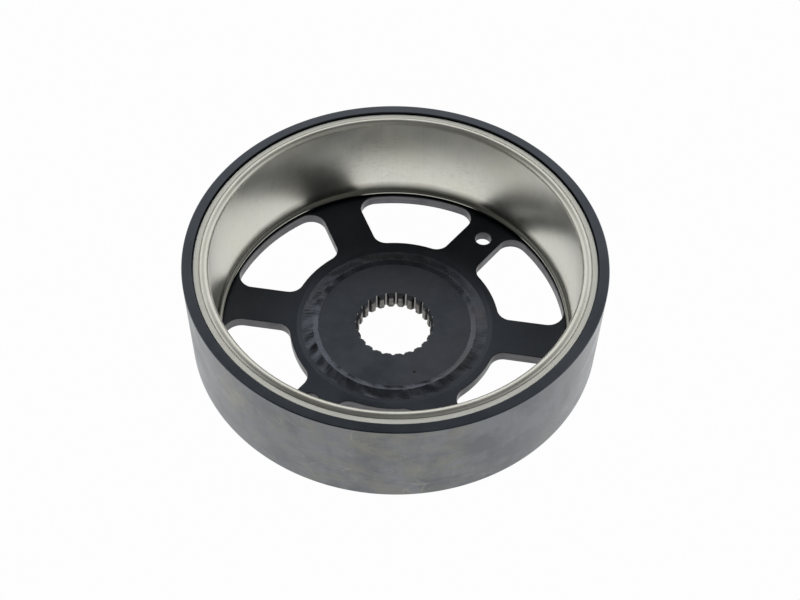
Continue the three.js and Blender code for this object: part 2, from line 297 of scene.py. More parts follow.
def magnet_liner(materials):
    """The stainless cup: rolled bead and lip above, wall, and the foot turned in below. Slot 0 is
    the satin sheet, 1 the matt lip."""
    outside = LINER_R + LINER_SHEET
    lip_bottom = LIP_TOP - LINER_SHEET
    roll = (LINER_R + ROLL_R, BEAD_CREST - ROLL_R)
    under = ROLL_R - LINER_SHEET
    foot_top = LINER_BOTTOM + LINER_FOOT_SHEET
    foot_reach = LINER_R - LINER_FOOT_R

    def arc(centre, radius, start, end, steps):
        for step in range(steps + 1):
            turn = start + (end - start) * step / steps
            yield centre[0] + radius * math.cos(turn), centre[1] + radius * math.sin(turn)

    corners = [
        (LINER_FOOT_R, LINER_BOTTOM, 0.3 * MM, 0),
        (outside - LINER_FOOT_SHEET, LINER_BOTTOM, 0, 0),
        (outside, foot_top, 0, 0),
    ]
    meets_under = math.asin((lip_bottom - roll[1]) / under)
    meets_top = math.asin((LIP_TOP - roll[1]) / ROLL_R)
    corners += [(r, z, 0, 0) for r, z in arc(roll, under, math.pi, meets_under, UNDER_STEPS)]
    corners += [(LIP_R, lip_bottom, 0.15 * MM, 1), (LIP_R, LIP_TOP, 0.15 * MM, 1)]
    crease_r = roll[0] + ROLL_R * math.cos(meets_top)
    corners += [(crease_r + CREASE, LIP_TOP, 0, 0), (crease_r, LIP_TOP - CREASE, 0, 0)]
    bead = arc(roll, ROLL_R, meets_top + ROLL_START, math.pi, BEAD_STEPS)
    corners += [(r, z, 0, 0) for r, z in bead]
    for r, z in arc((0, 0), 1, 2 * math.pi, 3 * math.pi / 2, FOOT_STEPS):
        corners.append((LINER_FOOT_R + foot_reach * r, foot_top + LINER_FOOT_HEIGHT * (1 + z), 0, 0))
    return turned("liner_shell", corners, materials)


def window_outline(grow, steps=10, arc_steps=40):
    """A window between two spokes, centred on +X and grown by an offset: always as many points."""
    half = math.pi / SPOKES
    outer, inner = WINDOW_OUTER_R - WINDOW_OUTER_CORNER_R, WINDOW_INNER_R + WINDOW_INNER_CORNER_R
    outer_angle = half - math.asin((SPOKE_HALF_WIDTH + WINDOW_OUTER_CORNER_R) / outer)
    inner_angle = half - math.asin((SPOKE_HALF_WIDTH + WINDOW_INNER_CORNER_R) / inner)
    outer_corner, inner_corner = WINDOW_OUTER_CORNER_R + grow, WINDOW_INNER_CORNER_R + grow
    square = math.pi / 2

    def arc(centre, radius, start, end, count):
        return [centre + polar(radius, start + (end - start) * i / count) for i in range(count)]

    axis = np.zeros(2)
    points = arc(axis, WINDOW_OUTER_R + grow, -outer_angle, outer_angle, arc_steps)
    points += arc(polar(outer, outer_angle), outer_corner, outer_angle, half + square, steps)
    points += arc(polar(inner, inner_angle), inner_corner, half + square, inner_angle + math.pi, steps)
    points += arc(axis, WINDOW_INNER_R - grow, inner_angle, -inner_angle, arc_steps)
    turned_back = 3 * square - half
    points += arc(polar(inner, -inner_angle), inner_corner, math.pi - inner_angle, turned_back, steps)
    points += arc(polar(outer, -outer_angle), outer_corner, -half - square, -outer_angle, steps)
    return points


def turned_by(points, angle):
    c, s = math.cos(angle), math.sin(angle)
    return [(c * x - s * y, s * x + c * y) for x, y in points]


def cut_through(solid, outline, low, high, edge, wall_slot, edge_slot):
    """The wall of an opening with rounded edges. outline(offset) gives the opening grown by an
    offset. Gives the loops in which the wall meets the two faces."""
    loops, slots = [], []
    for step in range(EDGE_STEPS + 1):
        turn = math.pi / 2 * step / EDGE_STEPS
        loops.append((edge * (1 - math.sin(turn)), high - edge * (1 - math.cos(turn))))
        slots.append(edge_slot if step < 1 else wall_slot)
    for step in range(EDGE_STEPS + 1):
        turn = math.pi / 2 * step / EDGE_STEPS
        loops.append((edge * (1 - math.cos(turn)), low + edge * (1 - math.sin(turn))))
        slots.append(wall_slot if step < EDGE_STEPS else edge_slot)
    made = [solid.loop([(x, y, z) for x, y in outline(grow)]) for grow, z in loops]
    for i in range(len(made) - 1):
        solid.band(made[i], made[i + 1], slots[i])
    return made[0], made[-1]


def spider_plate(materials):
    """Slot 0 is the blackened plate, 1 the bare walls of its openings."""
    solid = Solid()
    bevel_r, bevel_z = PLATE_BEVEL
    above, below = [], []
    for spoke in range(SPOKES):
        angle = SPOKE_ANGLE + (spoke + 0.5) * 2 * math.pi / SPOKES
        top, bottom = cut_through(
            solid, lambda grow: turned_by(window_outline(grow), angle),
            PLATE_BOTTOM, PLATE_TOP, CUT_EDGE, 1, 0,
        )
        above.append(top)
        below.append(bottom)
    for angle, distance in HOLES:
        centre = polar(distance, angle)
        turn = [2 * math.pi * i / HOLE_SEGMENTS for i in range(HOLE_SEGMENTS)]
        top, bottom = cut_through(
            solid, lambda grow: [centre + polar(HOLE_R + grow, a) for a in turn],
            PLATE_BOTTOM, PLATE_TOP, CUT_EDGE, 1, 0,
        )
        above.append(top)
        below.append(bottom)
    corners = [
        (PLATE_R - bevel_r, PLATE_BOTTOM, 0.3 * MM, 0),
        (PLATE_R, PLATE_BOTTOM + bevel_z, 0.3 * MM, 0),
        (PLATE_R, PLATE_TOP, 0.1 * MM, 0),
        (LAND_OUTER_R, PLATE_TOP, 0.1 * MM, 0),
        (LAND_OUTER_R, LAND_TOP, 0.1 * MM, 0),
        (LAND_INNER_R, LAND_TOP, 0.15 * MM, 0),
        (LAND_INNER_R, PLATE_TOP, 0.25 * MM, 0),
        (GROOVE_R, PLATE_TOP, 0.5 * MM, 0),
        (PLATE_BORE_R, PLATE_TOP - GROOVE_DEPTH, 0, 0),
        (PLATE_BORE_R, PLATE_BOTTOM, 0, 0),
    ]
    points, slots = rounded(corners)
    rings = [solid.ring(r, z) for r, z in points]
    corners_before_groove = 7
    groove = corners_before_groove * (ARC_STEPS + 1)
    flat_faces = {len(points) - 1, groove - 1}
    for i, slot in enumerate(slots):
        if i not in flat_faces:
            solid.band(rings[i], rings[(i + 1) % len(rings)], slot)
    solid.sheet(rings[groove - 1], [rings[groove], *above], 0)
    solid.sheet(rings[0], [rings[-1], *below], 0)
    return solid.object("web_plate", materials)


def spline_outline():
    """The hub's splined bore, with its small corners rounded."""
    corners = []
    pitch = 2 * math.pi / TEETH
    tip_half = math.asin(SPACE_AT_TIP / TOOTH_TIP_R)
    root_half = math.asin(SPACE_AT_ROOT / TOOTH_ROOT_R)
    for tooth in range(TEETH):
        middle = SPLINE_ANGLE + tooth * pitch
        for radius, turn, fillet in (
            (TOOTH_TIP_R, -tip_half, 0.16 * MM),
            (TOOTH_ROOT_R, -root_half, 0.22 * MM),
            (TOOTH_ROOT_R, root_half, 0.22 * MM),
            (TOOTH_TIP_R, tip_half, 0.16 * MM),
            (TOOTH_TIP_R * math.cos(pitch / 2 - tip_half), pitch / 2, 0),
        ):
            corners.append((*polar(radius, middle + turn), fillet, 0))
    return np.array(rounded(corners, SPLINE_STEPS)[0])


def grown(outline, offset):
    """A closed anticlockwise outline moved outwards by an offset."""
    ahead, behind = np.roll(outline, -1, axis=0), np.roll(outline, 1, axis=0)
    along = ahead - behind
    normal = np.stack((along[:, 1], -along[:, 0]), axis=1)
    return outline + offset * normal / np.linalg.norm(normal, axis=1)[:, None]


def splined_bore(solid):
    """The wall of the splined bore, with the cone of its lead-in at the front: slot 0 is the cone,
    1 the teeth. Gives the loops in which the wall meets the hub's front and rear faces."""
    outline = spline_outline()
    widened = grown(outline, SPLINE_EDGE)
    radius = np.linalg.norm(outline, axis=1)
    mouth = np.maximum(np.linalg.norm(widened, axis=1), TOOTH_TIP_R + SPLINE_LEAD_IN)
    depth = np.maximum(SPLINE_EDGE, SPLINE_LEAD_IN - (radius - TOOTH_TIP_R))
    front = widened * (mouth / np.linalg.norm(widened, axis=1))[:, None]
    loops = [
        solid.loop([(x, y, HUB_TOP) for x, y in front]),
        solid.loop([(x, y, HUB_TOP - down) for (x, y), down in zip(outline, depth)]),
        solid.loop([(x, y, HUB_BOTTOM + SPLINE_EDGE) for x, y in outline]),
        solid.loop([(x, y, HUB_BOTTOM) for x, y in widened]),
    ]
    for i, slot in enumerate((0, 1, 1)):
        solid.band(loops[i], loops[i + 1], slot)
    return loops[0], loops[-1]


def splined_hub(materials):
    """Slot 0 is the turned disc, 1 the broached teeth, 2 the inside of the punch mark, painted dark as
    shade.
    """
    solid = Solid()
    prep_r, prep_z = HUB_PREP
    top, bottom = splined_bore(solid)
    corners = [
        (HUB_R - HUB_CHAMFER, HUB_BOTTOM, 0.2 * MM, 0),
        (HUB_R, HUB_BOTTOM + HUB_CHAMFER, 0.2 * MM, 0),
        (HUB_R, HUB_TOP - prep_z, 0, 0),
        (HUB_R - prep_r, HUB_TOP, 0, 0),
        (0, HUB_TOP, 0, 0),
        (0, HUB_BOTTOM, 0, 0),
    ]
    points, slots = rounded(corners)
    rings = [solid.ring(r, z) for r, z in points[:-2]]
    for i in range(len(rings) - 1):
        solid.band(rings[i], rings[i + 1], slots[i])
    centre = polar(PIT_DISTANCE, PIT_ANGLE)
    turn = [2 * math.pi * i / PIT_SEGMENTS for i in range(PIT_SEGMENTS)]
    pit = [
        solid.loop([(*(centre + polar(radius, a)), HUB_TOP - depth) for a in turn])
        for radius, depth in ((1.25 * PIT_R, 0), (PIT_R, 0.04 * MM), (0.6 * PIT_R, 0.7 * PIT_DEPTH))
    ]
    tip = solid.loop([(*centre, HUB_TOP - PIT_DEPTH)])[0]
    solid.band(pit[0], pit[1], 0)
    solid.band(pit[1], pit[2], 2)
    solid.cap(pit[2], tip, 2)
    solid.sheet(rings[-1], [top, pit[0]], 0)
    solid.sheet(rings[0], [bottom], 0)
    return solid.object("hub_disc", materials)


def wander(rng, turn, lowest, highest):
    """A smooth random value round a full circle, about -1 to 1."""
    total = np.zeros_like(turn)
    power = 0.0
    for waves in range(lowest, highest + 1):
        size = (lowest / waves) ** 0.5
        total += size * np.cos(waves * turn + rng.uniform(0, 2 * math.pi))
        power += size * size / 2
    return total / (2 * math.sqrt(power))


def weld(name, section, root, material, rng, ripple, lump, rows=18):
    """A weld bead. section(s) gives (r, z) and the outward (dr, dz) across its face, for s from 0
    to 1, and root lists the hidden corners that close the section. lump and ripple are the sizes
    of its coarse and fine unevenness."""
    turn = np.arange(WELD_SEGMENTS) * 2 * math.pi / WELD_SEGMENTS
    waves, fine = (
        [
            (rng.integers(*span), rng.uniform(*WAVE_LEAN), rng.uniform(0, 2 * math.pi))
            for _ in range(WELD_WAVES)
        ]
        for span in (LUMPS_ROUND, RIPPLES_ROUND)
    )
    tall = wander(rng, turn, 5, 30)
    inner, outer = wander(rng, turn, 14, 80), wander(rng, turn, 14, 80)
    strength = 0.6 + 0.2 * wander(rng, turn, 3, 12) + 0.4 * np.cos(turn - ROUGHEST_WELD)
    solid = Solid()
    rings = []
    for row in range(rows + 1):
        s = row / rows
        r, z, dr, dz = section(s)
        coarse, small = (
            sum(np.cos(k * turn + lean * 2 * s + start) for k, lean, start in group) / len(group) ** 0.5
            for group in (waves, fine)
        )
        fade = math.sin(math.pi * s) ** 0.6
        raised = fade * strength * (lump * (coarse + 0.5 * tall) + ripple * small)
        sideways = WELD_WANDER * (inner * math.cos(math.pi * s) + outer * math.sin(math.pi * s))
        radius = r + dr * raised + dz * sideways
        height = z + dz * raised - dr * sideways
        rings.append(solid.loop(zip(radius * np.cos(turn), radius * np.sin(turn), height)))
    rings += [solid.ring(r, z, WELD_SEGMENTS) for r, z in root]
    for i in range(len(rings)):
        solid.band(rings[i], rings[(i + 1) % len(rings)])
    return solid.object(name, [material], smooth_angle=60)


def front_weld(material, rng):
    """The bead in the groove between the hub and the web plate."""
    crest = HUB_TOP + WELD_RISE
    slope = GROOVE_DEPTH / (GROOVE_R - PLATE_BORE_R)
    outer_toe = PLATE_TOP - slope * (GROOVE_R - WELD_OUTER_TOE_R) - TOE_BURIED
    inner_toe = HUB_TOP - TOE_BURIED
    width = WELD_OUTER_TOE_R - WELD_INNER_TOE_R
    share = (WELD_CREST_R - WELD_INNER_TOE_R) / width

    def height(s):
        if s < share:
            return crest - (crest - inner_toe) * (1 - s / share) ** WELD_INNER_BOW
        part = (s - share) / (1 - share)
        return crest - (crest - outer_toe) * math.sin(math.pi / 2 * part) ** WELD_OUTER_BOW

    def section(s):
        small = 0.001
        slope = (height(min(s + small, 1)) - height(max(s - small, 0))) / (2 * small * width)
        length = math.hypot(1, slope)
        return WELD_INNER_TOE_R + width * s, height(s), -slope / length, 1 / length

    buried = HUB_TOP - WELD_ROOT_DEPTH
    root = [(PLATE_BORE_R, buried), (HUB_R, buried)]
    return weld("front_bead", section, root, material, rng, 0.01 * MM, 0.075 * MM, rows=36)


def fillet_weld(name, corner_r, corner_z, leg_r, leg_z, material, rng):
    """A bead in the corner between a wall, which goes down, and a face over it."""
    upper = np.array((corner_r + leg_r, corner_z))
    lower = np.array((corner_r, corner_z - leg_z))
    corner = np.array((corner_r, corner_z))
    middle = (1 + FILLET_CROWN) * (upper + lower) / 2 - FILLET_CROWN * corner

    def section(s):
        place = (1 - s) ** 2 * lower + 2 * s * (1 - s) * middle + s * s * upper
        along = 2 * (1 - s) * (middle - lower) + 2 * s * (upper - middle)
        along /= np.linalg.norm(along)
        return place[0], place[1], along[1], -along[0]

    root = [(corner_r - TOE_BURIED, corner_z + TOE_BURIED)]
    return weld(name, section, root, material, rng, 0.02 * MM, 0.09 * MM, rows=12)


# ---------------------------------------------------------------- materials


class Finish:
    """A node material in the making. Its patterns are set out in metres on the part."""

    def __init__(self, name):
        self.material = bpy.data.materials.new(name)
        self.material.use_nodes = True
        self.tree = self.material.node_tree
        self.tree.nodes.clear()
        self.shader = self.tree.nodes.new("ShaderNodeBsdfPrincipled")
        output = self.tree.nodes.new("ShaderNodeOutputMaterial")
        self.tree.links.new(self.shader.outputs[0], output.inputs["Surface"])
        self.place = self.tree.nodes.new("ShaderNodeTexCoord").outputs["Object"]
        split = self.node("ShaderNodeSeparateXYZ", self.place)
        self.x, self.y, self.z = split.outputs
        self.relief = None

    def node(self, kind, *values, **settings):
        made = self.tree.nodes.new(kind)
        for name, value in settings.items():
            setattr(made, name, value)
        for socket, value in zip(made.inputs, values):
            self.put(socket, value)
        return made

    def put(self, socket, value):
        if isinstance(value, bpy.types.NodeSocket):
            self.tree.links.new(value, socket)
        elif value is not None:
            socket.default_value = value

    def math(self, operation, *values):
        return self.node("ShaderNodeMath", *values, operation=operation).outputs[0]

    def radius(self):
        square = self.math("ADD", self.math("POWER", self.x, 2.0), self.math("POWER", self.y, 2.0))
        return self.math("SQRT", square)

    def vector(self, x, y, z):
        return self.node("ShaderNodeCombineXYZ", x, y, z).outputs[0]

    def stretched(self, x, y, z):
        """The place on the part with each axis scaled."""
        return self.node("ShaderNodeVectorMath", self.place, (x, y, z), operation="MULTIPLY").outputs[0]

    def around(self, across, along):
        """A place for patterns that run round the axis on a flat face: across is how many per
        metre of radius, along how many to the circle's radius."""
        radius = self.radius()
        x = self.math("MULTIPLY", self.math("DIVIDE", self.x, radius), along)
        y = self.math("MULTIPLY", self.math("DIVIDE", self.y, radius), along)
        return self.vector(x, y, self.math("MULTIPLY", radius, across))

    def noise(self, place, scale, detail=2.0, roughness=0.5, distortion=0.0):
        made = self.node("ShaderNodeTexNoise")
        self.put(made.inputs["Vector"], place)
        self.put(made.inputs["Scale"], scale)
        self.put(made.inputs["Detail"], detail)
        self.put(made.inputs["Roughness"], roughness)
        self.put(made.inputs["Distortion"], distortion)
        return made.outputs[0]

    def cells(self, place, scale):
        made = self.node("ShaderNodeTexVoronoi")
        self.put(made.inputs["Vector"], place)
        self.put(made.inputs["Scale"], scale)
        return made.outputs["Distance"]

    def spread(self, value, low, high, to_low=0.0, to_high=1.0):
        """value from low..high to to_low..to_high, held at its ends."""
        made = self.node("ShaderNodeMapRange", value, low, high, to_low, to_high, clamp=True)
        return made.outputs[0]

    def mix(self, factor, first, second):
        made = self.node("ShaderNodeMix", data_type="RGBA")
        self.put(made.inputs["Factor"], factor)
        for name, value in (("A", first), ("B", second)):
            socket = next(s for s in made.inputs if s.name == name and s.type == "RGBA")
            self.put(socket, (*value, 1.0) if isinstance(value, tuple) else value)
        return next(s for s in made.outputs if s.type == "RGBA")

    def emboss(self, height, depth):
        """Adds relief: height 0 to 1 stands for depth metres."""
        made = self.node("ShaderNodeBump")
        self.put(made.inputs["Height"], height)
        self.put(made.inputs["Distance"], depth)
        self.put(made.inputs["Strength"], 1.0)
        if self.relief is not None:
            self.put(made.inputs["Normal"], self.relief)
        self.relief = made.outputs[0]

    def done(self, colour, roughness, metallic):
        self.put(self.shader.inputs["Base Color"], colour)
        self.put(self.shader.inputs["Roughness"], roughness)
        self.put(self.shader.inputs["Metallic"], metallic)
        if self.relief is not None:
            self.put(self.shader.inputs["Normal"], self.relief)
        return self.material


def black_oxide(name, dark, light, mottle=60.0, marks=0.0, low_gloss=0.36, high_gloss=0.48):
    """Blackened steel: a thin blue-black skin, speckled, with faint turning marks."""
    f = Finish(name)
    cloud = f.noise(f.place, mottle, 4.0, 0.6)
    speck = f.noise(f.place, 1400.0, 2.0, 0.6)
    tone = f.mix(f.spread(cloud, 0.32, 0.68), dark, light)
    tone = f.mix(f.spread(speck, 0.64, 0.8, 0.0, 0.4), tone, tuple(2.0 * c for c in light))
    f.emboss(f.noise(f.place, 900.0, 3.0, 0.6), 0.01 * MM)
    if marks:
        f.emboss(f.noise(f.around(9000.0, 6.0), 1.0, 3.0, 0.6), marks)
    return f.done(tone, f.spread(cloud, 0.3, 0.7, low_gloss, high_gloss), 1.0)


def drum_steel():
    """The ground outside of the drum: grey steel with stains, rub marks and fine lines round it."""
    f = Finish("drum_steel")
    lines = f.noise(f.stretched(1.0, 1.0, 90.0), 60.0, 3.0, 0.6)
    stain = f.noise(f.stretched(1.0, 1.0, 1.3), 62.0, 5.0, 0.6, 0.2)
    drip = f.noise(f.stretched(1.0, 1.0, 0.3), 130.0, 3.0, 0.6)
    rub = f.noise(f.stretched(1.0, 1.0, 1.5), 85.0, 5.0, 0.7, 0.3)
    worn_side = polar(1 / RIM_R, DRUM_WORN_ANGLE)
    facing = f.math("ADD", f.math("MULTIPLY", f.x, worn_side[0]), f.math("MULTIPLY", f.y, worn_side[1]))
    where = f.math("MULTIPLY_ADD", f.spread(facing, 0.6, 1.0), 0.16, f.noise(f.place, 40.0, 2.0, 0.5))
    scratch = f.noise(f.stretched(1.0, 1.0, 2.2), 70.0, 0.0, 0.5, 0.4)
    tone = f.mix(f.spread(stain, 0.42, 0.58), (0.122, 0.13, 0.142), (0.19, 0.2, 0.215))
    tone = f.mix(f.spread(drip, 0.5, 0.66, 0.0, 0.4), tone, (0.105, 0.108, 0.112))
    worn = f.math("MULTIPLY", f.spread(rub, 0.42, 0.64), f.spread(where, 0.5, 0.66, 0.0, 0.75))
    tone = f.mix(worn, tone, (0.212, 0.206, 0.176))
    off_line = f.math("ABSOLUTE", f.math("SUBTRACT", scratch, 0.5))
    on_line = f.spread(off_line, 0.0, 0.012, 1.0, 0.0)
    hair = f.math("MULTIPLY", on_line, f.spread(where, 0.5, 0.64, 0.0, 0.35))
    tone = f.mix(hair, tone, (0.36, 0.35, 0.31))
    tone = f.mix(f.spread(lines, 0.3, 0.7, 0.0, 0.25), tone, (0.1, 0.106, 0.118))
    rough = f.spread(stain, 0.35, 0.65, 0.24, 0.4)
    f.emboss(lines, 0.004 * MM)
    f.emboss(f.noise(f.place, 420.0, 3.0, 0.6), 0.008 * MM)
    return f.done(tone, rough, 1.0)


def stainless():
    """The liner's stainless sheet: warm grey, with draw lines, haze and small scuffs, painted shade
    that darkens it towards its foot, and a painted highlight along the foot's bottom flange."""
    f = Finish("satin_stainless")
    haze = f.noise(f.place, 70.0, 4.0, 0.6, 0.4)
    tint = f.noise(f.place, 45.0, 2.0, 0.5)
    drawn = f.noise(f.stretched(1.0, 1.0, 0.05), 900.0, 3.0, 0.6)
    patch = f.noise(f.stretched(1.0, 1.0, 1.4), 26.0, 3.0, 0.55)
    scuff = f.noise(f.stretched(1.0, 1.0, 1.6), 420.0, 3.0, 0.7)
    tone = f.mix(f.spread(haze, 0.3, 0.7), (0.61, 0.61, 0.55), (0.74, 0.735, 0.67))
    tone = f.mix(f.spread(tint, 0.45, 0.65, 0.0, 0.5), tone, (0.68, 0.66, 0.55))
    tone = f.mix(f.spread(drawn, 0.35, 0.7, 0.0, 0.1), tone, (0.42, 0.42, 0.39))
    marked = f.math("MULTIPLY", f.spread(scuff, 0.5, 0.7, 0.0, 0.3), f.spread(patch, 0.5, 0.64))
    tone = f.mix(marked, tone, (0.34, 0.335, 0.31))
    foot = LINER_BOTTOM + LINER_FOOT_SHEET + LINER_FOOT_HEIGHT
    # painted shade: the wall is darkened towards its foot above the plate, with an uneven edge
    shade_height = f.math("MULTIPLY_ADD", haze, 2.0 * MM, f.z)
    painted_shade = f.spread(shade_height, foot + 0.8 * MM, foot + 4.6 * MM, 0.82, 0.0)
    tone = f.mix(painted_shade, tone, (0.085, 0.087, 0.074))
    # painted highlight: a lighter band along the foot's bottom flange
    bare = f.spread(f.z, LINER_BOTTOM + 0.75 * MM, LINER_BOTTOM + 1.0 * MM, 0.6, 0.0)
    tone = f.mix(bare, tone, (0.5, 0.5, 0.45))
    rough = f.spread(haze, 0.3, 0.7, 0.3, 0.38)
    f.emboss(drawn, 0.0008 * MM)
    return f.done(tone, rough, 1.0)


def turned_lip():
    """The liner's lip: the same sheet turned matt, pale, with fine rings."""
    f = Finish("turned_lip")
    rings = f.noise(f.around(6000.0, 5.0), 1.0, 3.0, 0.6)
    haze = f.noise(f.place, 90.0, 4.0, 0.6)
    tone = f.mix(f.spread(haze, 0.3, 0.7), (0.84, 0.845, 0.77), (0.96, 0.96, 0.89))
    tone = f.mix(f.spread(rings, 0.5, 0.75, 0.0, 0.15), tone, (0.6, 0.6, 0.54))
    f.emboss(rings, 0.004 * MM)
    return f.done(tone, f.spread(haze, 0.3, 0.7, 0.5, 0.6), 0.6)


def cut_steel():
    """Bare walls of the windows and holes: dull grey, with fine lines along them."""
    f = Finish("cut_steel")
    lines = f.noise(f.stretched(1.0, 1.0, 26.0), 60.0, 3.0, 0.6)
    cloud = f.noise(f.place, 160.0, 3.0, 0.6)
    tone = f.mix(f.spread(lines, 0.3, 0.7), (0.085, 0.085, 0.092), (0.14, 0.139, 0.143))
    tone = f.mix(f.spread(cloud, 0.5, 0.75, 0.0, 0.45), tone, (0.065, 0.066, 0.075))
    f.emboss(lines, 0.006 * MM)
    return f.done(tone, f.spread(cloud, 0.3, 0.7, 0.3, 0.45), 1.0)


def broached_steel():
    """The spline teeth: broached, grey-brown on the tips, with painted shade black on the flanks
    and at the tips' front ends, bare at the roots."""
    f = Finish("broached_steel")
    drawn = f.noise(f.stretched(1.0, 1.0, 0.04), 2200.0, 2.0, 0.6)
    cloud = f.noise(f.place, 500.0, 3.0, 0.6)
    radius = f.radius()
    # painted shade: the flanks in the narrow gaps between the teeth are painted black
    shaded_flank = f.spread(radius, TOOTH_TIP_R + 0.08 * MM, TOOTH_TIP_R + 0.25 * MM)
    root = f.spread(radius, TOOTH_ROOT_R - 0.22 * MM, TOOTH_ROOT_R - 0.08 * MM)
    tone = f.mix(f.spread(drawn, 0.3, 0.7), (0.11, 0.105, 0.096), (0.21, 0.2, 0.182))
    tone = f.mix(f.spread(cloud, 0.45, 0.65, 0.0, 0.6), tone, (0.05, 0.048, 0.044))
    black = (0.016, 0.016, 0.018)
    # painted shade: the tips are painted black for a few millimetres down from the hub's front face
    uneven = f.math("MULTIPLY_ADD", f.noise(f.place, 300.0), 0.9 * MM, f.z)
    shade_starts = HUB_TOP - TIP_SHADE_DEPTH + 0.45 * MM
    shaded_front_end = f.spread(uneven, shade_starts - 0.2 * MM, shade_starts + 0.2 * MM)
    tone = f.mix(shaded_front_end, tone, black)
    tone = f.mix(shaded_flank, tone, black)
    tone = f.mix(root, tone, (0.25, 0.25, 0.245))
    f.emboss(drawn, 0.008 * MM)
    return f.done(tone, f.spread(cloud, 0.3, 0.7, 0.3, 0.45), 1.0)


def turned_disc():
    """The hub's front: darkened steel with turning marks and a faint mottle."""
    f = Finish("turned_disc")
    rings = f.noise(f.around(5200.0, 5.0), 1.0, 3.0, 0.65)
    cloud = f.noise(f.place, 75.0, 5.0, 0.65)
    speck = f.noise(f.place, 900.0, 2.0, 0.6)
    warm = f.noise(f.place, 48.0, 2.0, 0.5)
    tone = f.mix(f.spread(cloud, 0.36, 0.64), (0.066, 0.073, 0.087), (0.106, 0.116, 0.136))
    tone = f.mix(f.spread(warm, 0.55, 0.75, 0.0, 0.4), tone, (0.098, 0.094, 0.095))
    tone = f.mix(f.spread(rings, 0.45, 0.75, 0.0, 0.25), tone, (0.1, 0.104, 0.114))
    tone = f.mix(f.spread(speck, 0.64, 0.8, 0.0, 0.35), tone, (0.15, 0.15, 0.155))
    f.emboss(rings, 0.004 * MM)
    f.emboss(f.noise(f.place, 700.0, 3.0, 0.6), 0.007 * MM)
    return f.done(tone, f.spread(cloud, 0.3, 0.7, 0.38, 0.5), 1.0)


def weld_metal():
    """The welds' skin: blue-black, with brown heat tints and small pits."""
    f = Finish("weld_metal")
    cloud = f.noise(f.place, 180.0, 4.0, 0.6)
    heat = f.noise(f.place, 55.0, 2.0, 0.5)
    pits = f.cells(f.place, 900.0)
    tone = f.mix(f.spread(cloud, 0.3, 0.7), (0.068, 0.075, 0.089), (0.115, 0.124, 0.146))
    tone = f.mix(f.spread(heat, 0.58, 0.72, 0.0, 0.5), tone, (0.1, 0.092, 0.094))
    f.emboss(f.noise(f.place, 650.0, 4.0, 0.65), 0.022 * MM)
    f.emboss(f.spread(pits, 0.0, 0.25), 0.008 * MM)
    return f.done(tone, f.spread(cloud, 0.3, 0.7, 0.2, 0.32), 1.0)


def pit_painted_shade():
    """The inside of the punch mark, painted near-black as shade."""
    f = Finish("pit_painted_shade")
    # painted shade: the pit's inside is near-black
    tone = f.mix(f.noise(f.place, 2000.0), (0.004, 0.004, 0.005), (0.02, 0.02, 0.022))
    return f.done(tone, 0.6, 0.2)


def magnet_ceramic():
    """Dark grey sintered magnet."""
    f = Finish("sintered_magnet")
    grain = f.noise(f.place, 1800.0, 4.0, 0.7)
    tone = f.mix(grain, (0.03, 0.03, 0.033), (0.075, 0.075, 0.08))
    f.emboss(grain, 0.02 * MM)
    return f.done(tone, f.spread(grain, 0.3, 0.7, 0.55, 0.8), 0.2)


def cast_aluminium():
    """The spacer ring: dull aluminium with turning marks."""
    f = Finish("spacer_aluminium")
    rings = f.noise(f.around(3500.0, 5.0), 1.0, 3.0, 0.6)
    tone = f.mix(rings, (0.42, 0.42, 0.43), (0.6, 0.6, 0.61))
    f.emboss(rings, 0.006 * MM)
    return f.done(tone, f.spread(rings, 0.3, 0.7, 0.35, 0.5), 1.0)


def potting_resin():
    """The brown-black resin between the magnets, with small bubbles."""
    f = Finish("potting_resin")
    bubbles = f.cells(f.place, 1100.0)
    cloud = f.noise(f.place, 150.0, 3.0, 0.6)
    tone = f.mix(cloud, (0.012, 0.009, 0.007), (0.035, 0.026, 0.02))
    f.emboss(f.spread(bubbles, 0.0, 0.3), 0.05 * MM)
    return f.done(tone, f.spread(cloud, 0.3, 0.7, 0.3, 0.55), 0.0)


# ---------------------------------------------------------------- the object


def stand_in(piece, node):
    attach(piece, "root")
    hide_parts(node)


def build():
    rng = np.random.default_rng(SEED)
    face = black_oxide(
        "blackened_face", (0.062, 0.07, 0.082), (0.08, 0.09, 0.104), 60.0, 0.002 * MM, 0.26, 0.36,
    )
    web = black_oxide("blackened_web", (0.05, 0.056, 0.068), (0.074, 0.082, 0.096), 45.0)
    bead = weld_metal()
    liner = [stainless(), turned_lip()]
    stand_in(rim_shell([face, drum_steel()]), "rim_shell")
    stand_in(magnet_liner(liner), "magnet_liner")
    stand_in(spider_plate([web, cut_steel()]), "spider_plate")
    stand_in(splined_hub([turned_disc(), broached_steel(), pit_painted_shade()]), "splined_hub")
    stand_in(front_weld(bead, rng), "hub_weld_front")
    leg_r = REAR_WELD_HIGH.x - HUB_R
    leg_z = PLATE_BOTTOM - REAR_WELD_LOW.z
    rear = fillet_weld("rear_bead", HUB_R, PLATE_BOTTOM, leg_r, leg_z, bead, rng)
    stand_in(rear, "hub_weld_rear")
    leg_r = RIM_WELD_HIGH.x - PLATE_R
    leg_z = RIM_BOTTOM - RIM_WELD_LOW.z
    rim = fillet_weld("rim_bead", PLATE_R, RIM_BOTTOM, leg_r, leg_z, bead, rng)
    stand_in(rim, "rim_weld")
    ceramic = magnet_ceramic()
    hidden = {"magnet_spacer": cast_aluminium(), "magnet_potting": potting_resin()}
    for name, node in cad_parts.items():
        if node.hide_render:
            continue
        node.data.materials.clear()
        node.data.materials.append(hidden.get(name, ceramic))


# ---------------------------------------------------------------- floor, light, camera


FLOOR_SPAN = 8.0
FLOOR_GLOW = 0.985
FLOOR_GAP = 0.02 * MM
SKY_GLOW = 1.15
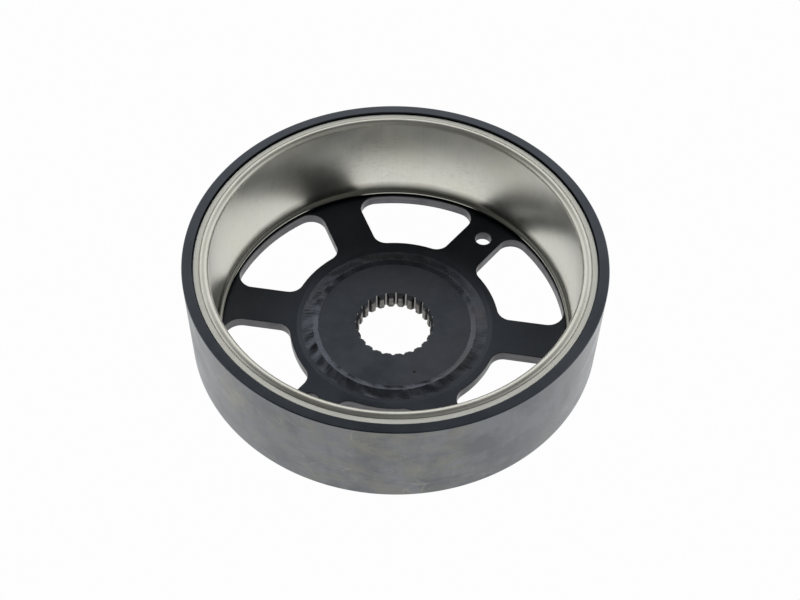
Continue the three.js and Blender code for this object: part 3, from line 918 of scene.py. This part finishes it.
# The sky's brightness against the sine of the elevation, behind the object and at its sides
SKY_BEHIND = (
    (0.0, 0.8), (0.55, 1.0), (0.71, 1.0), (0.78, 0.6), (0.815, 0.25), (0.845, 0.085), (1.0, 0.055),
)
SKY_BESIDE = ((0.0, 0.85), (0.5, 0.9), (0.62, 0.6), (0.78, 0.14), (1.0, 0.09))
SKY_FRONT = (0.08, 0.24)  # its brightness on the camera's side, from left to right
BEHIND = (0.3, 0.58)  # where along Y the side sky turns into the sky behind
FRONT = (-0.45, -0.05)  # and the front sky into the side sky
FRONT_SPAN = (-0.4, 0.4)  # where along X the front sky turns from its left to its right value

LENS, SENSOR = 60.17, 36  # millimetres
CAMERA_ELEVATION = math.radians(51.43)
CAMERA_ROLL = math.radians(-1.338)
CAMERA_DISTANCE = 6.2675 * RIM_R
AIM_OFFSET = (0.01941 * RIM_R, -0.21946 * RIM_R)  # to the right of and above the rim's centre


def floor():
    """A plain white light table: it glows evenly and takes no shadow."""
    mesh = bpy.data.meshes.new("floor")
    s = FLOOR_SPAN / 2
    mesh.from_pydata([(-s, -s, 0), (s, -s, 0), (s, s, 0), (-s, s, 0)], [], [(0, 1, 2, 3)])
    material = bpy.data.materials.new("floor_white")
    material.use_nodes = True
    shader = material.node_tree.nodes["Principled BSDF"]
    shader.inputs["Base Color"].default_value = (0, 0, 0, 1)
    shader.inputs["Specular IOR Level"].default_value = 0
    shader.inputs["Emission Color"].default_value = (1, 1, 1, 1)
    shader.inputs["Emission Strength"].default_value = FLOOR_GLOW
    mesh.materials.append(material)
    plane = bpy.data.objects.new("floor", mesh)
    plane.location.z = HUB_BOTTOM - FLOOR_GAP
    bpy.context.scene.collection.objects.link(plane)


def studio():
    """One broad soft light, as a sky: bright low down behind the object and at its sides, dim
    overhead, and dark on the camera's side. The camera itself sees plain white."""
    world = bpy.data.worlds.new("studio")
    world.use_nodes = True
    tree = world.node_tree
    tree.nodes.clear()

    def node(kind, *inputs, **settings):
        made = tree.nodes.new(kind)
        for name, value in settings.items():
            setattr(made, name, value)
        for socket, value in zip(made.inputs, inputs):
            if isinstance(value, bpy.types.NodeSocket):
                tree.links.new(value, socket)
            else:
                socket.default_value = value
        return made.outputs[0]

    def by_height(stops):
        ramp = tree.nodes.new("ShaderNodeValToRGB")
        points = ramp.color_ramp.elements
        while len(points) < len(stops):
            points.new(0.5)
        for point, (height, glow) in zip(points, stops):
            point.position = height
            point.color = (glow, glow, glow, 1)
        tree.links.new(z, ramp.inputs[0])
        return ramp.outputs[0]

    split = tree.nodes.new("ShaderNodeSeparateXYZ")
    tree.links.new(tree.nodes.new("ShaderNodeTexCoord").outputs["Generated"], split.inputs[0])
    x, y, z = split.outputs
    beside, behind = by_height(SKY_BESIDE), by_height(SKY_BEHIND)
    back_share = node("ShaderNodeMapRange", y, *BEHIND, 0.0, 1.0)
    side_share = node("ShaderNodeMapRange", y, *FRONT, 0.0, 1.0)
    front = node("ShaderNodeMapRange", x, *FRONT_SPAN, *SKY_FRONT)
    sky = node("ShaderNodeMixRGB", back_share, beside, behind)
    sky = node("ShaderNodeMixRGB", side_share, front, sky)
    room = node("ShaderNodeBackground", sky, SKY_GLOW)
    white = node("ShaderNodeBackground", (1, 1, 1, 1), 1.0)
    camera_ray = tree.nodes.new("ShaderNodeLightPath").outputs["Is Camera Ray"]
    output = tree.nodes.new("ShaderNodeOutputWorld")
    tree.links.new(node("ShaderNodeMixShader", camera_ray, room, white), output.inputs["Surface"])
    bpy.context.scene.world = world


def camera():
    e, roll = CAMERA_ELEVATION, CAMERA_ROLL
    level = Vector((1, 0, 0))
    up = Vector((0, math.sin(e), math.cos(e)))
    ahead = Vector((0, math.cos(e), -math.sin(e)))
    right = math.cos(roll) * level - math.sin(roll) * up
    top = math.sin(roll) * level + math.cos(roll) * up
    aim = Vector((0, 0, RIM_TOP)) + AIM_OFFSET[0] * right + AIM_OFFSET[1] * top
    data = bpy.data.cameras.new("camera")
    data.lens, data.sensor_width = LENS, SENSOR
    data.clip_start, data.clip_end = 0.01, 50
    made = bpy.data.objects.new("camera", data)
    turn = Matrix((right, top, -ahead)).transposed().to_4x4()
    made.matrix_world = Matrix.Translation(aim - CAMERA_DISTANCE * ahead) @ turn
    bpy.context.scene.collection.objects.link(made)
    bpy.context.scene.camera = made


build()
floor()
studio()
camera()
bpy.context.scene.view_settings.view_transform = "Standard"
